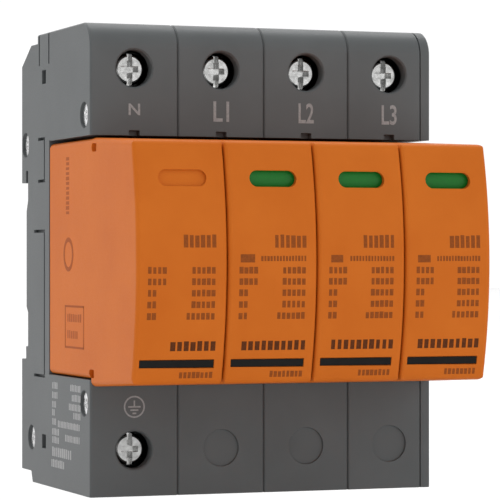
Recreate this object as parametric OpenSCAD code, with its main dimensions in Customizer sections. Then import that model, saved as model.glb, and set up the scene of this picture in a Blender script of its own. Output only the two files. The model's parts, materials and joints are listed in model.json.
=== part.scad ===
// Four-pole surge arrester for a 35 mm rail, with plug-in cartridges.
// X runs across the poles, the front looks along -Y, Z is up.
// The origin is the middle of the rail seat.

/* [Base] */
// Width of one pole
pole_pitch = 17.5; // [17.3:0.1:19]
// Height of the base
body_h = 90; // [88:0.5:96]
// Rail seat to the front of the terminal blocks
block_depth = 43.2; // [42.6:0.1:46]
// Outer wall thickness
wall = 1.5; // [1.3:0.1:1.7]
// Front wall of the terminal blocks
front_wall = 2.6; // [2.2:0.1:2.8]
// Wall above and below the terminal chambers
deck_wall = 4.2; // [3.6:0.1:4.4]
// Wall between the contact chamber and the rail
spine_wall = 1.6; // [1.4:0.1:1.7]
// Radius of the top front edge
deck_r = 5; // [3:0.25:6]
// Chamfer along the seams between the poles
seam_chamfer = 0.3; // [0.15:0.05:0.5]
// Thickness of the end cover
cover_t = 2; // [1.6:0.1:2.4]

/* [Cartridge bay] */
// Height of the bay between the terminal blocks
bay_h = 46.2; // [45.8:0.1:46.6]
// Middle of the bay above the middle of the base
bay_rise = 0.3; // [0.2:0.05:0.4]
// Distance from the rail seat to the floor of the bay
bay_floor = 15.5; // [12:0.1:20]
// Width of the tool notch above each cartridge
notch_w = 2.1; // [1.5:0.1:4]
// Height of the tool notch
notch_h = 1; // [0.5:0.1:1.2]
// Depth of the tool notch
notch_depth = 1.6; // [0.8:0.1:2]

/* [Rail] */
// Width of the rail
rail_w = 35; // [34.6:0.1:35.4]
// Slot behind the upper hook
hook_slot = 1.4; // [1.2:0.1:1.8]
// Length of the hook over the rail flange
hook_grip = 2; // [1.5:0.1:2.5]
// Depth of the base behind the rail seat
rear_depth = 4.5; // [4.2:0.1:5]
// Height of the raised middle that reaches into the rail
relief = 1.1; // [0.6:0.1:1.4]
// Length of the raised middle
relief_h = 19.4; // [16:0.2:21]
// Ledge under the lower rail flange
ledge = 1.5; // [1.2:0.1:1.8]
// Play around the rail
rail_play = 0.2; // [0.1:0.05:0.4]

/* [Terminals] */
// Terminal screws in from the top and bottom of the base
screw_drop = 8.8; // [8.6:0.05:9]
// Diameter of the screw wells
well_d = 7.1; // [6.9:0.1:7.6]
// Diameter of the screw heads
head_d = 6.2; // [5.9:0.1:6.5]
// Thickness of the screw heads
head_t = 2.6; // [2.3:0.1:2.7]
// Depth of the screw heads below the front
head_recess = 3; // [2.9:0.1:3.2]
// Width of the driver slot
driver_slot = 1; // [0.8:0.1:1.2]
// Thread diameter of the terminal screws
thread_d = 5; // [4.8:0.1:5.2]
// Diameter of the wire entries
wire_d = 8.4; // [7.6:0.1:8.4]
// Flare around each wire entry
wire_flare = 0.8; // [0.4:0.1:1.2]
// Room for the wire in an open cage
cage_room = 8; // [7.6:0.1:8]
// Height of a clamp cage
cage_h = 8; // [7:0.1:8.2]
// Thickness of a clamp cage
cage_t = 1.8; // [1.5:0.1:1.9]
// Travel of a clamp cage
cage_travel = 6; // [5:0.1:6.1]

/* [Contacts] */
// Width of the copper strips
strip_w = 8; // [7:0.1:8.2]
// Thickness of the copper strips
strip_t = 2; // [1.6:0.1:2.1]
// Thickness of the neutral bar
bar_t = 1.5; // [1.2:0.05:1.55]
// Height of the neutral bar
bar_h = 10; // [8:0.1:12]
// Thickness of a spring finger
finger_t = 1; // [0.8:0.1:1.2]
// Blades in from the top and bottom of the plug
contact_drop = 7.3; // [7:0.05:7.6]

/* [Cartridges] */
// Gap between two cartridges
cartridge_gap = 0.2; // [0.1:0.05:0.3]
// Play of a cartridge in the height of the bay
plug_play = 0.8; // [0.7:0.05:1]
// Middle of the plug below the middle of the bay
plug_drop = 0.2; // [0.1:0.05:0.3]
// Play between the cartridge and the bottom of the bay
bay_play = 0.2; // [0.15:0.05:0.25]
// Reach of the cartridge front ahead of the terminal blocks
nose_reach = 28.3; // [27.8:0.1:30]
// Bow of the cartridge front
nose_bow = 3; // [2.5:0.1:3.4]
// Lap of the cartridge head over the height of the bay
head_lap = 0.7; // [0.5:0.1:0.8]
// Middle of the cartridge head below the middle of the base
head_drop = 0.55; // [0.5:0.05:0.6]
// Draft of the cartridge head, in degrees
head_draft = 3; // [2:0.25:3.25]
// Radius of the long edges
long_r = 1.1; // [0.6:0.1:1.3]
// Radius of the upright front edges
upright_r = 0.8; // [0.5:0.1:1]
// Radius of the upper and lower front edges
brow_r = 1.4; // [0.8:0.1:1.6]
// Wall thickness of a cartridge
shell_t = 1.4; // [1.3:0.05:1.5]
// Thickness of the cartridge front
nose_t = 1.8; // [1.7:0.05:2]
// Thickness of a cartridge back
back_t = 2; // [1.6:0.1:2.4]
// Thickness of a blade
blade_t = 1.6; // [1.4:0.1:1.7]
// Height of a blade
blade_h = 6; // [5.4:0.1:6]
// Reach of a blade behind the cartridge
blade_reach = 10; // [9.4:0.1:10.2]
// Width of the marker groove
groove_w = 14.3; // [12:0.1:15]
// Height of the marker groove
groove_h = 1.55; // [1:0.05:2]
// Depth of the marker groove
groove_depth = 0.5; // [0.3:0.05:0.8]
// Middle of the marker groove above the bottom of the head
groove_rise = 5.05; // [4.8:0.05:6.5]

/* [Status windows] */
// Width of a status window
window_w = 9.2; // [7:0.1:9.6]
// Height of a status window
window_h = 3; // [2.4:0.1:3]
// Middle of the windows below the top of the head
window_drop = 8.2; // [8.1:0.05:8.4]
// Swing of a status lever, in degrees
lever_swing = 26; // [25:0.5:27]
// Radius of a status lever's face
lever_r = 7.6; // [7.4:0.05:7.7]
// Diameter of a status lever's pivot
pivot_d = 2; // [1.8:0.1:2.2]

/* [Rail feet] */
// Width of a foot's body
foot_w = 8; // [7:0.1:8.2]
// Width of the tongue on each side of a foot
foot_tongue = 1.4; // [1:0.1:1.4]
// Travel of a foot
foot_travel = 4; // [3.8:0.1:4.2]
// Play of a foot in its channel
foot_play = 0.2; // [0.15:0.05:0.25]

/* [Rivets] */
// Shank diameter of the rivets
rivet_d = 3; // [2.6:0.1:3.2]
// Head diameter of the rivets
rivet_head_d = 4.5; // [4:0.1:4.6]
// Diameter of the recess for a rivet head
rivet_recess_d = 5; // [4.8:0.1:5.4]
// Depth of a rivet head below the side
rivet_sink = 0.5; // [0.3:0.05:0.6]

/* [Hidden] */
$fn = 64;

// Cuts run past the faces by this much
over = 1;
// Pole count: the node list above names each one
poles = 4;
function pole_x(i) = (i - (poles + 1) / 2) * pole_pitch;
function pole_left(i) = pole_x(i) - pole_pitch / 2;
function pole_right(i) = pole_x(i) + pole_pitch / 2 - (i == poles ? cover_t : 0);
base_left = pole_left(1);
base_right = pole_x(poles) + pole_pitch / 2;

// Base, from front to back and from top to bottom
front_y = -block_depth;
top_z = body_h / 2;
screw_z = top_z - screw_drop;
bay_top_z = bay_h / 2 + bay_rise;
bay_low_z = -bay_h / 2 + bay_rise;
bay_y = -bay_floor;
clip_front_y = bay_y + wall;
deck_rear_y = bay_y + 8.3;
deck_step = 1.8;
shoulder_y = -2.4;
shoulder_drop = 5.7;
sole_step = 2.2;
hook_z = rail_w / 2 - hook_grip;
slot_z = rail_w / 2 + rail_play * 2;
relief_z = relief_h / 2;
relief_ramp = 2.3;
ledge_z = -rail_w / 2 - rail_play;
ledge_h = 2.6;
chamber_z = top_z - deck_wall;
spine_low_z = bay_low_z + 1.8;
low_rear_y = -6.4;

// Side latches of the base, as [front, rear] and [low, high], with a slit in front and at each end
panel_depth = 0.9;
panel_slit = 0.6;
panel_end = 0.55;
panel_y = bay_y + 3.8;
panel_upper = [[panel_y, panel_y + 4.2], [bay_top_z - 7.8, bay_top_z + 0.6]];
panel_lower = [[panel_y, panel_y + 7.1], [bay_low_z - 0.5, bay_top_z - 17.8]];
snap_y = deck_rear_y - 5.9;
snap_w = 2.7;
snap_h = 2.7;
snap_z = top_z - 8.7;
snap_depth = 1;
tab_y = [deck_rear_y - 8, deck_rear_y - 1.2];
tab_low_z = top_z - 6.3;
tab_groove = 0.6;

// Rivets
rivet_in = 4.1;
rivet_at = [
    [front_y + rivet_in, (bay_top_z + screw_z - head_d / 2) / 2 - 0.85],
    [front_y + rivet_in, (bay_low_z - screw_z + head_d / 2) / 2 + 0.55],
    [1.8, slot_z + 5.3], [-2.7, 9 - top_z]
];
rivet_play = 0.1;
rivet_head_t = 0.7;
rivet_boss_r = 3;
rivet_eye_d = 1.8;
rivet_eye_depth = 0.4;

// Terminals, measured from the front
head_y = front_y + head_recess;
shank_y = head_y + head_t;
strip_y = shank_y + cage_travel + cage_t + 1.5;
cage_y = strip_y - cage_t - 0.3;
cage_rear_y = strip_y + strip_t + cage_room + cage_t;
cage_in_w = strip_w + 0.4;
cage_w = cage_in_w + 2 * cage_t * 0.7;
cage_r = 1;
thread_play = 0.05;
wire_y = strip_y + strip_t + cage_room / 2;
blank_depth = 0.5;
well_chamfer = 0.3;

// Contacts
plug_h = bay_h - plug_play;
plug_z = bay_rise - plug_drop;
plug_top_z = plug_z + plug_h / 2;
plug_low_z = plug_z - plug_h / 2;
contact_z = plug_top_z - contact_drop;
strip_top_z = screw_z + cage_h / 2 + 0.2;
clip_rear_y = -spine_wall - bar_t - 0.1;
clip_base_y = clip_rear_y - strip_t;
pass_rear_y = clip_rear_y + 0.3;
grip_play = 0.05;
finger_x = blade_t / 2 + grip_play;
finger_tip_y = clip_front_y + 0.5;
finger_bend = 1.9;
finger_flare = 0.9;
bar_low_z = -6;
bar_window_play = 0.3;
blade_slot_play = 0.6;

// Cartridges
cartridge_w = pole_pitch - cartridge_gap;
cartridge_rear_y = bay_y - bay_play;
neck_y = front_y - 0.4;
head_h = bay_h + head_lap;
head_top_z = head_h / 2 - head_drop;
head_low_z = -head_h / 2 - head_drop;
nose_y = front_y - nose_reach;
bow_half = head_h / 2 - 1.2;
bow_r = (bow_half * bow_half + nose_bow * nose_bow) / (2 * nose_bow);
bow_y = nose_y + bow_r;
bow_z = -head_drop;
cell_w = cartridge_w - 2 * shell_t;
cell_top_z = plug_top_z - 2.8;
cell_low_z = plug_low_z + 2.2;
seal_h = 1.6;
seal_l = 3.2;
seal_depth = 0.8;
seal_at = [[neck_y - 1.8, head_top_z - 1.9], [neck_y - 0.2, head_low_z + 2.4]];
window_z = head_top_z - window_drop;
groove_z = -head_low_z - groove_rise;
window_x = 0.4;
window_blind = 0.6;
groove_x = -0.45;
far = 60;

// Status levers
pivot_y = bow_y - sqrt(pow(bow_r, 2) - pow(window_z - bow_z, 2)) + 1.3 + lever_r;
lever_half = lever_swing / 2;
lever_t = 1.2;
lever_w = 11.2;
lever_play = 0.3;
lever_side = 0.15;
hub_d = 4;
pin_reach = 0.5;
tail_reach = 4.5;
tail_t = 1.4;

// Inside the cartridges, measured from the middle of a pole
block_x = [-6, 2.6];
block_reach = 12.8;
block_in = 10.3;
block_room = 6.4;
block_y = [front_y - block_reach, cartridge_rear_y - block_in];
block_h = cell_top_z - cell_low_z - block_room;
block_r = 3;
lug_t = 0.5;
lug_l = 6;
strap_t = 0.65;
strap_h = 5;
blade_in = 8;
gap_d = block_h - 6;
gap_y = block_y[1] - gap_d / 2;
post_h = 8;
post_x = [-5, 2];

// Rail feet
foot_y = 0.4;
foot_tongue_t = 1.6;
foot_low_z = -top_z + sole_step + 0.2;
foot_stop_z = [ledge_z - 12.3, ledge_z - 10.3];
foot_stop_t = 1;
nose_top_z = -rail_w / 2 + 1.5;
foot_nose_y = 1.3;
foot_slot = [5, 1.4];

// A profile of (Y, Z) drawn out along X
module across(x0, x1) {
    translate([x0, 0, 0])
        rotate([90, 0, 90])
            linear_extrude(x1 - x0)
                children();
}

// A profile of (X, Z) drawn out along Y
module along(y0, y1) {
    translate([0, y1, 0])
        rotate([90, 0, 0])
            linear_extrude(y1 - y0)
                children();
}

// A profile of (X, Y) drawn out along Z
module upward(z0, z1) {
    translate([0, 0, z0])
        linear_extrude(z1 - z0)
            children();
}

// A box between two corners
module span(low, high) {
    translate(low)
        cube(high - low);
}

// A rectangle with round corners, centred
module soft_rect(w, h, r) {
    square([w - 2 * r, h], center = true);
    square([w, h - 2 * r], center = true);
    for (sx = [-1, 1], sz = [-1, 1])
        translate([sx * (w / 2 - r), sz * (h / 2 - r)])
            circle(r);
}

// A slot with round ends, centred
module stadium(w, h) {
    square([w - h, h], center = true);
    for (sx = [-1, 1])
        translate([sx * (w - h) / 2, 0])
            circle(d = h);
}

// Outline of the base seen from the side: two terminal blocks, the bay and the rail notch
module base_outline() {
    difference() {
        polygon([
            [front_y, -top_z], [front_y, bay_low_z], [bay_y, bay_low_z], [bay_y, bay_top_z],
            [front_y, bay_top_z], [front_y, top_z], [deck_rear_y, top_z],
            [deck_rear_y, top_z - deck_step], [shoulder_y, top_z - deck_step],
            [rear_depth, top_z - shoulder_drop], [rear_depth, hook_z], [hook_slot, hook_z],
            [hook_slot, slot_z], [0, slot_z], [0, relief_z + relief_ramp], [relief, relief_z],
            [relief, -relief_z], [0, -relief_z - relief], [0, ledge_z], [ledge, ledge_z],
            [ledge, ledge_z - ledge_h], [rear_depth, ledge_z - ledge_h],
            [rear_depth, -top_z + sole_step], [shoulder_y, -top_z + sole_step],
            [shoulder_y - 1, -top_z]
        ]);
        translate([front_y, top_z - deck_r])
            difference() {
                translate([-over, 0])
                    square([deck_r + over, deck_r + over]);
                translate([deck_r, 0])
                    circle(deck_r);
            }
    }
}

// Chambers inside one pole, with the columns for the rivets left standing
module hollow_outline() {
    difference() {
        union() {
            translate([front_y + front_wall, bay_top_z + wall])
                square([-spine_wall - front_y - front_wall, chamber_z - bay_top_z - wall]);
            translate([clip_front_y, spine_low_z])
                square([-spine_wall - clip_front_y, chamber_z - spine_low_z]);
            translate([clip_front_y, bay_low_z - wall - strip_t - over])
                square([pass_rear_y - clip_front_y, spine_low_z - bay_low_z + wall + strip_t + 2 * over]);
            translate([front_y + front_wall, -chamber_z])
                square([low_rear_y - front_y - front_wall, chamber_z + bay_low_z - wall]);
        }
        for (p = rivet_at)
            translate(p)
                circle(rivet_boss_r);
    }
}

// V cut along one seam: up the front, round the top edge and back over the deck
module seam_cut(x) {
    side = seam_chamfer * sqrt(2);
    translate([x, front_y, 0])
        rotate([0, 0, 45])
            cube([side, side, 2 * (top_z - deck_r)], center = true);
    translate([x, front_y, -top_z + deck_r / 2])
        rotate([0, 0, 45])
            cube([side, side, 2 * deck_r], center = true);
    translate([x, front_y + deck_r, top_z - deck_r])
        rotate([0, 90, 0])
            rotate([0, 0, 180])
                rotate_extrude(angle = 90)
                    translate([deck_r, 0])
                        rotate(45)
                            square(side, center = true);
    translate([x, front_y + deck_r, top_z])
        rotate([0, 45, 0])
            translate([-side / 2, 0, -side / 2])
                cube([side, deck_rear_y - front_y - deck_r + over, side]);
}

// Screw well with a small chamfer at its mouth
module screw_well(x, z) {
    translate([x, front_y, z])
        rotate([-90, 0, 0]) {
            translate([0, 0, -over])
                cylinder(d = well_d, h = front_wall + 2 * over);
            translate([0, 0, -well_chamfer])
                cylinder(d1 = well_d + 4 * well_chamfer, d2 = well_d, h = 2 * well_chamfer);
        }
}

// Wire entry with a flared mouth, for the upper side
module wire_entry(x) {
    translate([x, wire_y, top_z]) {
        translate([0, 0, -deck_wall - over])
            cylinder(d = wire_d, h = deck_wall + 2 * over);
        translate([0, 0, -wire_flare])
            cylinder(d1 = wire_d, d2 = wire_d + 4 * wire_flare, h = 2 * wire_flare);
    }
}

// Holes for the rivets, with a recess at one end where x_recess lies on that face
module rivet_holes(x0, x1) {
    for (p = rivet_at)
        translate([x0 - over, p[0], p[1]])
            rotate([0, 90, 0])
                cylinder(d = rivet_d + 2 * rivet_play, h = x1 - x0 + 2 * over);
}

module rivet_recess(x0, x1) {
    for (p = rivet_at)
        translate([x0, p[0], p[1]])
            rotate([0, 90, 0])
                cylinder(d = rivet_recess_d, h = x1 - x0);
}

// Latch slits and tab grooves on an outer side
module side_details(x0, x1) {
    for (p = [panel_upper, panel_lower]) {
        span([x0, p[0][0] - panel_slit, p[1][0]], [x1, p[0][0], p[1][1]]);
        for (z = p[1])
            span([x0, p[0][0] - panel_slit, z - panel_end / 2], [x1, p[0][1], z + panel_end / 2]);
    }
    for (y = tab_y)
        span([x0, y - tab_groove / 2, tab_low_z], [x1, y + tab_groove / 2, top_z + over]);
}

module snap_slots(x0, x1) {
    for (s = [-1, 1])
        span([x0, snap_y, s * snap_z - snap_h / 2], [x1, snap_y + snap_w, s * snap_z + snap_h / 2]);
}

// Channel of a rail foot: a neck open to the rear and a wider slot for the tongues
module foot_channel(x) {
    neck = foot_w / 2 + foot_play;
    slot = neck + foot_tongue;
    difference() {
        union() {
            span([x - neck, foot_y, -top_z - over], [x + neck, rear_depth + over, ledge_z + over]);
            span(
                [x - slot, foot_y, -top_z - over],
                [x + slot, foot_y + foot_tongue_t + 2 * foot_play, ledge_z + over]
            );
        }
        span([x - 1, foot_y - over, foot_stop_z[0]], [x + 1, foot_y + foot_stop_t, foot_stop_z[1]]);
    }
}

// Moulded housing of one pole, open on its right side
module base_housing(i) {
    x = pole_x(i);
    left = pole_left(i);
    right = pole_right(i);
    color("dimgray")
        difference() {
            across(left, right)
                base_outline();
            across(left + wall, right + over)
                hollow_outline();
            screw_well(x, screw_z);
            wire_entry(x);
            for (s = [-1, 1])
                span(
                    [x - finger_x - blade_slot_play, bay_y - over, s * contact_z - blade_h / 2 - blade_slot_play],
                    [x + finger_x + blade_slot_play, bay_y + wall + over, s * contact_z + blade_h / 2 + blade_slot_play]
                );
            span(
                [x - notch_w / 2, front_y - over, bay_top_z - over],
                [x + notch_w / 2, front_y + notch_depth, bay_top_z + notch_h]
            );
            rivet_holes(left, right);
            seam_cut(left);
            seam_cut(right);
            if (i == 1) {
                screw_well(x, -screw_z);
                mirror([0, 0, 1])
                    wire_entry(x);
                rivet_recess(left - over, left + rivet_sink + rivet_head_t);
                side_details(left - over, left + panel_depth);
                snap_slots(left - over, left + snap_depth);
            } else {
                translate([x, front_y + blank_depth, -screw_z])
                    rotate([90, 0, 0])
                        cylinder(d = well_d, h = blank_depth + over);
                span(
                    [left - over, clip_rear_y - bar_window_play, bar_low_z],
                    [left + wall + over, -spine_wall, bar_low_z + bar_h + bar_window_play]
                );
            }
            if (i == 1 || i == poles)
                foot_channel(x);
        }
}

module base_housing_1() { base_housing(1); }
module base_housing_2() { base_housing(2); }
module base_housing_3() { base_housing(3); }
module base_housing_4() { base_housing(4); }

// Cover that closes the open side of the last pole
module base_end_cover() {
    inner = base_right - cover_t;
    color("dimgray")
        difference() {
            across(inner, base_right)
                base_outline();
            rivet_holes(inner, base_right);
            rivet_recess(base_right - rivet_sink - rivet_head_t, base_right + over);
            side_details(base_right - panel_depth, base_right + over);
            snap_slots(base_right - snap_depth, base_right + over);
            seam_cut(base_right);
        }
}

// Tubular rivets through all the poles, a head at each end
module base_rivets() {
    head_l = base_left + rivet_sink;
    head_r = base_right - rivet_sink;
    color("gainsboro")
        for (p = rivet_at)
            translate([0, p[0], p[1]])
                rotate([0, 90, 0])
                    difference() {
                        union() {
                            translate([0, 0, head_l])
                                cylinder(d = rivet_d, h = head_r - head_l);
                            translate([0, 0, head_l])
                                cylinder(d = rivet_head_d, h = rivet_head_t);
                            translate([0, 0, head_r - rivet_head_t])
                                cylinder(d = rivet_head_d, h = rivet_head_t);
                        }
                        translate([0, 0, head_l - over])
                            cylinder(d = rivet_eye_d, h = over + rivet_eye_depth);
                        translate([0, 0, head_r - rivet_eye_depth])
                            cylinder(d = rivet_eye_d, h = over + rivet_eye_depth);
                    }
}

// Terminal screw with a slot and a cross in its head
module terminal_screw(x, z) {
    cross_w = 1.1;
    cross_l = 3.4;
    edge = 0.3;
    color("silver")
        translate([x, head_y, z])
            rotate([-90, 0, 0])
                difference() {
                    union() {
                        cylinder(d1 = head_d - 2 * edge, d2 = head_d, h = edge);
                        translate([0, 0, edge])
                            cylinder(d = head_d, h = head_t - edge);
                        translate([0, 0, head_t - edge])
                            cylinder(d = thread_d, h = strip_y - shank_y);
                        translate([0, 0, head_t + strip_y - shank_y - edge])
                            cylinder(d1 = thread_d, d2 = thread_d - 2 * edge, h = edge);
                    }
                    translate([-driver_slot / 2, -head_d, -over])
                        cube([driver_slot, 2 * head_d, over + 1.2]);
                    for (a = [0, 90])
                        rotate(a)
                            translate([-cross_l / 2, -cross_w / 2, -over])
                                cube([cross_l, cross_w, over + 1.7]);
                }
}

module terminal_screw_1() { terminal_screw(pole_x(1), screw_z); }
module terminal_screw_2() { terminal_screw(pole_x(2), screw_z); }
module terminal_screw_3() { terminal_screw(pole_x(3), screw_z); }
module terminal_screw_4() { terminal_screw(pole_x(4), screw_z); }
module terminal_screw_earth() { terminal_screw(pole_x(1), -screw_z); }

// Rising clamp cage, a short square tube with the thread in its front wall
module terminal_cage(x, z) {
    color("lightsteelblue")
        difference() {
            upward(z - cage_h / 2, z + cage_h / 2)
                difference() {
                    translate([x, (cage_y + cage_rear_y) / 2])
                        soft_rect(cage_w, cage_rear_y - cage_y, cage_r);
                    translate([x - cage_in_w / 2, cage_y + cage_t])
                        square([cage_in_w, cage_rear_y - cage_y - 2 * cage_t]);
                }
            translate([x, cage_y - over, z])
                rotate([-90, 0, 0])
                    cylinder(d = thread_d + 2 * thread_play, h = cage_t + 2 * over);
        }
}

module terminal_cage_1() { terminal_cage(pole_x(1), screw_z); }
module terminal_cage_2() { terminal_cage(pole_x(2), screw_z); }
module terminal_cage_3() { terminal_cage(pole_x(3), screw_z); }
module terminal_cage_4() { terminal_cage(pole_x(4), screw_z); }
module terminal_cage_earth() { terminal_cage(pole_x(1), -screw_z); }

// Two spring fingers that grip a blade, reaching forward from a base plate at y
module spring_clip(x, z, y) {
    for (s = [-1, 1])
        upward(z - blade_h / 2, z + blade_h / 2)
            translate([x, 0])
                polygon([
                    [s * finger_x, y], [s * finger_x, finger_tip_y + finger_bend],
                    [s * (finger_x + finger_flare), finger_tip_y],
                    [s * (finger_x + finger_flare + finger_t), finger_tip_y],
                    [s * (finger_x + finger_t), finger_tip_y + finger_bend], [s * (finger_x + finger_t), y]
                ]);
}

// Copper strip from a clamp cage over the bay to a spring clip behind it
module contact_strip(x, floor_z) {
    across(x - strip_w / 2, x + strip_w / 2) {
        translate([strip_y, floor_z])
            square([strip_t, strip_top_z - floor_z]);
        translate([strip_y, floor_z])
            square([clip_rear_y - strip_y, strip_t]);
        translate([clip_base_y, contact_z - blade_h / 2])
            square([strip_t, floor_z + strip_t - contact_z + blade_h / 2]);
    }
    spring_clip(x, contact_z, clip_base_y + strip_t / 2);
}

module line_contact(i) {
    color("peru")
        contact_strip(pole_x(i), bay_top_z + wall);
}

module line_contact_1() { line_contact(1); }
module line_contact_2() { line_contact(2); }
module line_contact_3() { line_contact(3); }
module line_contact_4() { line_contact(4); }

// The same strip turned upside down for the earth terminal
module earth_contact() {
    color("peru")
        mirror([0, 0, 1])
            contact_strip(pole_x(1), wall - bay_low_z);
}

// Bar through the poles: it rises to the first pole's strip and drops to the other lower clips
module neutral_bar() {
    rear = clip_rear_y + bar_t;
    color("peru") {
        span(
            [pole_x(1) - strip_w / 2, clip_rear_y, bar_low_z],
            [pole_x(poles) + strip_w / 2, rear, bar_low_z + bar_h]
        );
        span(
            [pole_x(1) - strip_w / 2, clip_rear_y, bar_low_z],
            [pole_x(1) + strip_w / 2, rear, contact_z + blade_h / 2]
        );
        for (i = [2 : poles]) {
            span(
                [pole_x(i) - strip_w / 2, clip_rear_y, -contact_z - blade_h / 2],
                [pole_x(i) + strip_w / 2, rear, bar_low_z + bar_h]
            );
            spring_clip(pole_x(i), -contact_z, clip_rear_y + bar_t / 2);
        }
    }
}

// Sliding foot with tongues, a stop slot and a nose that catches the lower rail flange
module rail_foot(x) {
    half = foot_w / 2;
    y0 = foot_y + foot_play;
    rear = rear_depth - 0.2;
    shelf_z = ledge_z - ledge_h;
    color("darkslategray")
        difference() {
            union() {
                across(x - half, x + half)
                    polygon([
                        [y0, foot_low_z], [y0, shelf_z], [foot_nose_y, shelf_z], [foot_nose_y, nose_top_z],
                        [foot_nose_y + 0.8, nose_top_z], [rear, shelf_z + 1], [rear, foot_low_z]
                    ]);
                span(
                    [x - half - foot_tongue, y0, foot_low_z],
                    [x + half + foot_tongue, y0 + foot_tongue_t, shelf_z - 1]
                );
            }
            span(
                [x - 1 - foot_play, y0 - over, foot_stop_z[0] - foot_play],
                [x + 1 + foot_play, foot_y + foot_stop_t + foot_play, foot_stop_z[1] + foot_travel + foot_play]
            );
            span(
                [x - foot_slot[0] / 2, y0 - over, foot_low_z + 1.6],
                [x + foot_slot[0] / 2, rear + over, foot_low_z + 1.6 + foot_slot[1]]
            );
        }
}

module rail_foot_left() { rail_foot(pole_x(1)); }
module rail_foot_right() { rail_foot(pole_x(poles)); }

// Disc about the axis of the bowed front, with round rims where rim is above zero
module bow_disc(x, r, w, rim = 0) {
    translate([x, bow_y, bow_z])
        rotate([0, 90, 0])
            rotate_extrude() {
                translate([0, -w / 2])
                    square([r - rim, w]);
                if (rim > 0) {
                    translate([0, -w / 2 + rim])
                        square([r, w - 2 * rim]);
                    for (s = [-1, 1])
                        translate([r - rim, s * (w / 2 - rim)])
                            circle(rim);
                }
            }
}

// Half block with round upper edges, tilted down towards the front by the draft
module draft_block(x, z) {
    translate([x, neck_y, z])
        rotate([head_draft, 0, 0])
            along(-far, over) {
                translate([0, -far / 2])
                    square([cartridge_w, far - 2 * long_r], center = true);
                translate([0, -long_r])
                    square([cartridge_w - 2 * long_r, 2 * long_r], center = true);
                for (s = [-1, 1])
                    translate([s * (cartridge_w / 2 - long_r), -long_r])
                        circle(long_r);
            }
}

// Points of the round brow between the bowed front and a tilted side that starts at height z
function brow_points(z) = let(
    n = [-sin(head_draft), cos(head_draft)],
    u = [-cos(head_draft), -sin(head_draft)],
    lift = n * [neck_y - bow_y, z] - brow_r,
    reach = sqrt(pow(bow_r - brow_r, 2) - lift * lift),
    c = [bow_y, 0] + lift * n + reach * u,
    a0 = 90 + head_draft,
    a1 = atan2(c[1], c[0] - bow_y),
    steps = 5
) [for (k = [0 : steps]) let(a = a0 + (a1 - a0) * k / steps) c + brow_r * [cos(a), sin(a)]];

function flipped(points) = [for (k = [len(points) - 1 : -1 : 0]) [points[k][0], -points[k][1]]];

// Side view that keeps all but the two sharp brows
module brow_keep() {
    upper = brow_points(head_top_z - bow_z);
    lower = flipped(brow_points(bow_z - head_low_z));
    translate([0, bow_z])
        polygon(concat(
            [[far, far], [upper[0][0], far]], upper,
            [[-2 * far, upper[len(upper) - 1][1]], [-2 * far, lower[0][1]]], lower,
            [[lower[len(lower) - 1][0], -far], [far, -far]]
        ));
}

// Outer form of a cartridge: bowed head and straight plug
module cartridge_form(x) {
    half = cartridge_w / 2;
    intersection() {
        bow_disc(x, bow_r, cartridge_w, upright_r);
        draft_block(x, head_top_z);
        mirror([0, 0, 1])
            draft_block(x, -head_low_z);
        across(x - half - over, x + half + over)
            brow_keep();
        span([x - half - over, nose_y - over, -far], [x + half + over, neck_y, far]);
    }
    translate([x, 0, plug_z])
        along(neck_y - over, cartridge_rear_y)
            soft_rect(cartridge_w, plug_h, long_r);
}

// Follows the bowed front inwards to a given depth
module sunk(x, depth) {
    difference() {
        children();
        bow_disc(x, bow_r - depth, pole_pitch + over);
    }
}

// Moulded cartridge shell, open at the rear
module cartridge_shell(i) {
    x = pole_x(i);
    half = cartridge_w / 2;
    color("chocolate")
        difference() {
            cartridge_form(x);
            intersection() {
                span(
                    [x - cell_w / 2, nose_y, cell_low_z],
                    [x + cell_w / 2, cartridge_rear_y + over, cell_top_z]
                );
                bow_disc(x, bow_r - nose_t, pole_pitch);
            }
            sunk(x, groove_depth)
                translate([x + groove_x, 0, -groove_z])
                    along(nose_y - over, nose_y + far / 4)
                        square([groove_w, groove_h], center = true);
            for (s = [-1, 1], p = seal_at)
                translate([x + s * half, p[0], p[1]])
                    rotate([0, 90, 0])
                        linear_extrude(2 * seal_depth, center = true)
                            rotate(90)
                                stadium(seal_l, seal_h);
            if (i == 1)
                sunk(x, window_blind)
                    translate([x + window_x, 0, window_z])
                        along(nose_y - over, nose_y + far / 4)
                            stadium(window_w, window_h);
            else {
                translate([x + window_x, 0, window_z])
                    along(nose_y - over, pivot_y - lever_r / 2)
                        stadium(window_w, window_h);
                intersection() {
                    translate([x, pivot_y, window_z])
                        rotate([0, 90, 0])
                            cylinder(r = lever_r + lever_play, h = lever_w + 2 * lever_play, center = true);
                    span([x - half, nose_y, cell_low_z], [x + half, pivot_y, cell_top_z]);
                }
                translate([x, pivot_y, window_z])
                    rotate([0, 90, 0])
                        cylinder(
                            d = pivot_d + 2 * lever_side,
                            h = cell_w + 2 * pin_reach + 2 * lever_side, center = true
                        );
            }
        }
}

module cartridge_shell_1() { cartridge_shell(1); }
module cartridge_shell_2() { cartridge_shell(2); }
module cartridge_shell_3() { cartridge_shell(3); }
module cartridge_shell_4() { cartridge_shell(4); }

// Back that closes a shell, with a post behind the block and slots for the blades
module cartridge_back(i) {
    x = pole_x(i);
    front = cartridge_rear_y - back_t;
    color("dimgray")
        difference() {
            union() {
                span([x - cell_w / 2, front, cell_low_z], [x + cell_w / 2, cartridge_rear_y, cell_top_z]);
                span([x + post_x[0], block_y[1], -post_h / 2], [x + post_x[1], front, post_h / 2]);
            }
            for (s = [-1, 1])
                span(
                    [x - blade_t / 2, front - over, s * contact_z - blade_h / 2],
                    [x + blade_t / 2, cartridge_rear_y + over, s * contact_z + blade_h / 2]
                );
        }
}

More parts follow.
